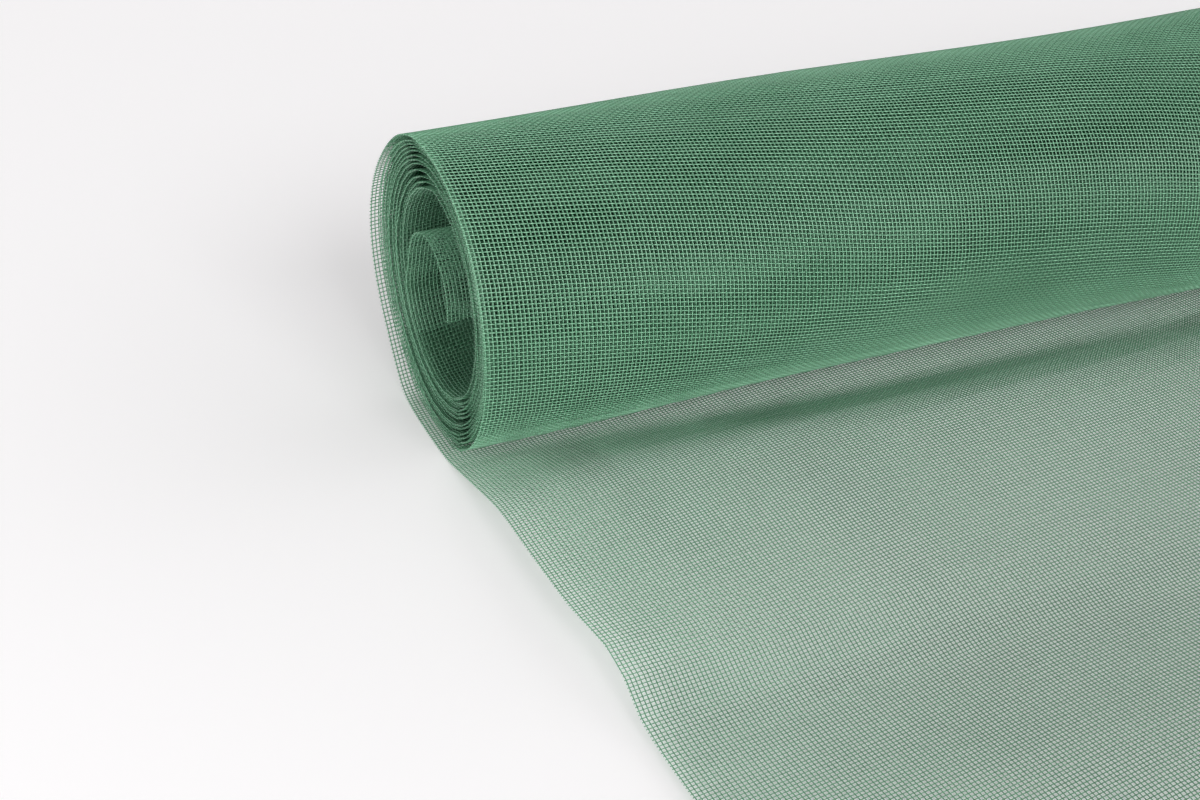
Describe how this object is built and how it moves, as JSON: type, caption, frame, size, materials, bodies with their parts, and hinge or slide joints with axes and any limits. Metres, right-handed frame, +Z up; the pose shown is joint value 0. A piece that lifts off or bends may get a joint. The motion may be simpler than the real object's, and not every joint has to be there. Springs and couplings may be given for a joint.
{
  "type": "roll of insect screen mesh",
  "caption": "Loosely wound roll of green coated insect screen mesh with an open hollow core, lying with its loose end unrolled in front.",
  "frame": {"origin": "middle of the outline of the roll and its loose end, on the surface it lies on", "axes": "+X along the roll from its open near end to the far end, +Y from the cut loose end towards the back of the roll, +Z up"},
  "size_m": [0.6074, 0.35, 0.1104],
  "materials": {
    "wound_mesh": "plain weave of glass fibre yarn coated in green plastic, many layers deep, semi-gloss",
    "single_mesh": "the same mesh as a single see-through layer"
  },
  "bodies": {
    "root": {"wound_roll": "wound_mesh", "loose_end": "single_mesh", "inner_end": "wound_mesh"}
  },
  "joints": []
}
